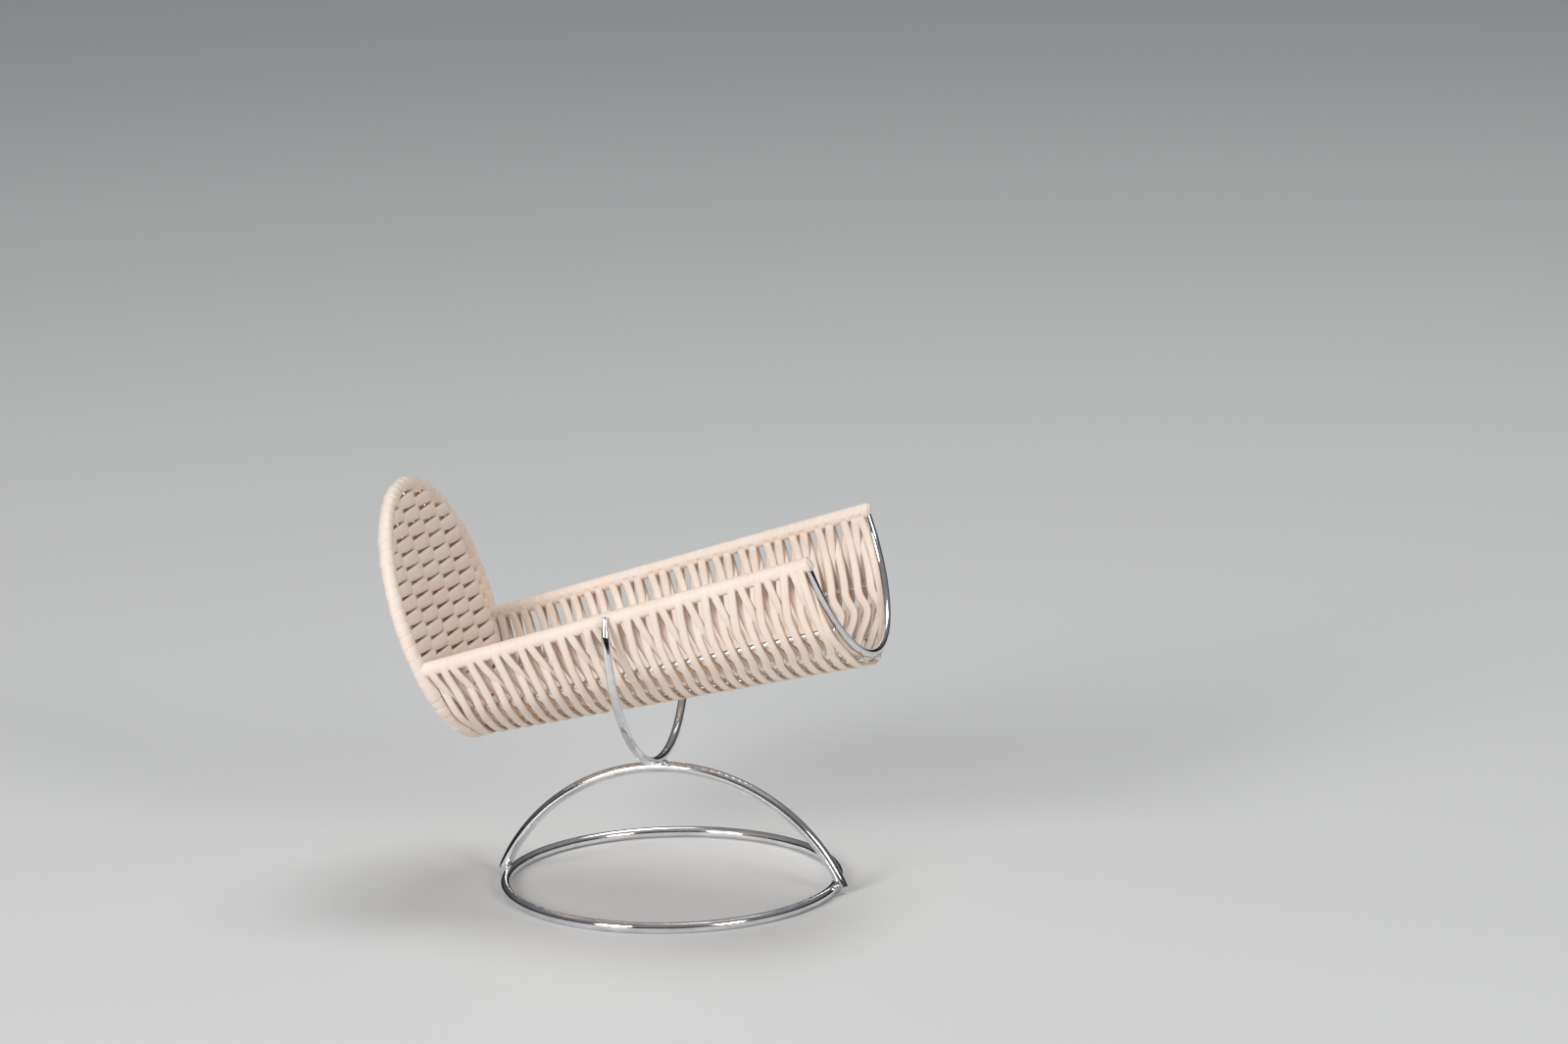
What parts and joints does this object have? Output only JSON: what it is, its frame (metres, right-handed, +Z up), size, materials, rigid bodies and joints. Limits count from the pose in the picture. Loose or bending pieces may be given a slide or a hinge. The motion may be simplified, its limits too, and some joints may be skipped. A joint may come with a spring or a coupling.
{
  "type": "wine bottle basket",
  "caption": "Chrome wire stand with a ring foot, an arch and a hoop, holding a slanted open trough and upright end plate woven from ivory cord for one wine bottle.",
  "frame": {"origin": "on the table, under the middle of the object's bounding box", "axes": "+Z up; +X along the cradle towards its raised open end, where the bottle's neck would lie; +Y across the cradle, to the left as seen from the end plate"},
  "size_m": [0.1962, 0.1356, 0.1585],
  "materials": {
    "stand_chrome": "bright polished chrome on round steel wire",
    "cradle_chrome": "bright polished chrome on thin round steel wire",
    "weave_cord": "smooth ivory cord, soft sheen, tan in the recesses",
    "border_cord": "smooth ivory cord wound side by side, soft sheen, fine tan seams"
  },
  "bodies": {
    "root": {"base_ring": "stand_chrome", "arch": "stand_chrome", "hoop": "stand_chrome", "front_wire": "cradle_chrome", "rim_wire_left": "cradle_chrome", "rim_wire_right": "cradle_chrome", "mid_rail_left": "cradle_chrome", "mid_rail_right": "cradle_chrome", "low_rail_left": "cradle_chrome", "low_rail_right": "cradle_chrome", "bottom_rail": "cradle_chrome", "plate_frame": "cradle_chrome", "plate_stake_1": "cradle_chrome", "plate_stake_2": "cradle_chrome", "plate_stake_3": "cradle_chrome", "plate_stake_4": "cradle_chrome", "plate_stake_5": "cradle_chrome", "plate_border": "border_cord", "plate_weave": "weave_cord", "trough_weave": "weave_cord"}
  },
  "joints": []
}
